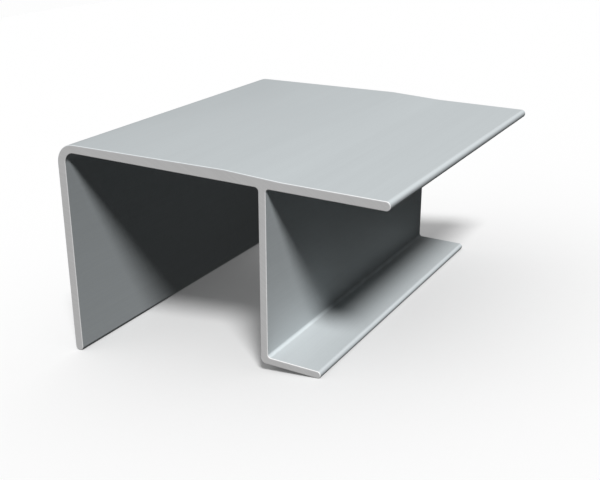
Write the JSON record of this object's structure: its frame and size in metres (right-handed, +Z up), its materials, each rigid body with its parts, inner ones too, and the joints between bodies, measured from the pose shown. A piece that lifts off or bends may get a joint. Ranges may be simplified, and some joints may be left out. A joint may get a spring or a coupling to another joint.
{
  "type": "angle profile",
  "caption": "Extruded angle profile: a wide plate with a rounded corner and long leg at one edge, and a web with a turned-out foot under the other.",
  "frame": {"origin": "centre of the bounding box on the floor plane, midway along the length", "axes": "+Y along the extrusion, +Z up from the floor that it rests on, +X from the leg towards the plate's nose; the plate leans 9.5 degrees down towards +X because the piece rests on the leg's end and the foot's tip"},
  "size_m": [0.1088, 0.1, 0.062],
  "materials": {
    "profile_metal": "satin anodised skin, plain cut ends"
  },
  "bodies": {
    "root": {"angle_profile": "profile_metal"}
  },
  "joints": []
}
